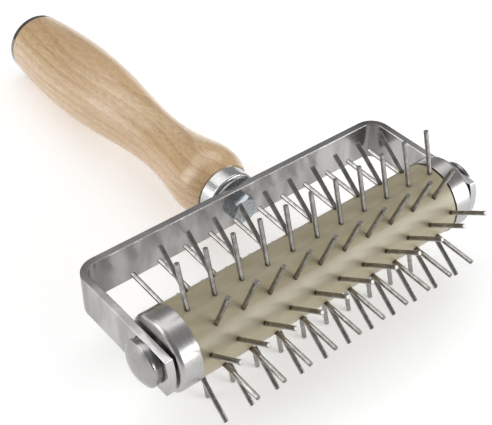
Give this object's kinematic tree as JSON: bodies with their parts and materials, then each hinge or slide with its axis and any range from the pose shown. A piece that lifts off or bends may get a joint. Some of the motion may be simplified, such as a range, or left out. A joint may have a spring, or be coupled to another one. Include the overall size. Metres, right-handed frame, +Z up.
{
  "type": "spiked roller docker",
  "caption": "Hand roller set with staggered rows of blunt steel pins, turning on an axle in a bent flat-bar yoke with a turned wooden handle.",
  "frame": {"origin": "middle of the footprint's bounding box, on the surface the tool lies on", "axes": "+X along the axle, +Y from the roller towards the butt of the handle, +Z up; the tool lies on its pins and on the swell of its handle"},
  "size_m": [0.138, 0.1996, 0.055],
  "materials": {
    "stainless_bar": "satin",
    "polished_steel": "polished",
    "cap_steel": "turned and polished",
    "stainless_turned": "satin",
    "zinc_steel": "zinc plated",
    "pin_steel": "polished",
    "wood": "satin lacquer over open grain",
    "beige_plastic": "smooth satin",
    "bush_plastic": "plain nylon",
    "brass": "plain"
  },
  "bodies": {
    "handle_frame": {"yoke": "stainless_bar", "handle": "wood", "ferrule": "polished_steel", "handle_washer": "zinc_steel", "butt_cap": "polished_steel", "handle_bolt": "zinc_steel", "threaded_insert": "brass", "axle": "stainless_turned", "axle_nut": "stainless_turned", "head_washer_left": "zinc_steel", "head_washer_right": "zinc_steel", "thrust_washer_left": "zinc_steel", "thrust_washer_right": "zinc_steel"},
    "roller": {"roller_core": "beige_plastic", "end_cap_left": "cap_steel", "end_cap_right": "cap_steel", "bush_left": "bush_plastic", "bush_right": "bush_plastic", "pin_row_01": "pin_steel", "pin_row_02": "pin_steel", "pin_row_03": "pin_steel", "pin_row_04": "pin_steel", "pin_row_05": "pin_steel", "pin_row_06": "pin_steel", "pin_row_07": "pin_steel", "pin_row_08": "pin_steel", "pin_row_09": "pin_steel", "pin_row_10": "pin_steel"}
  },
  "joints": [
    {"name": "roller_spin", "type": "hinge", "parent": "handle_frame", "child": "roller", "pos_m": [0, -0.07208, 0.02752], "axis": [1, 0, 0], "continuous": true}
  ]
}
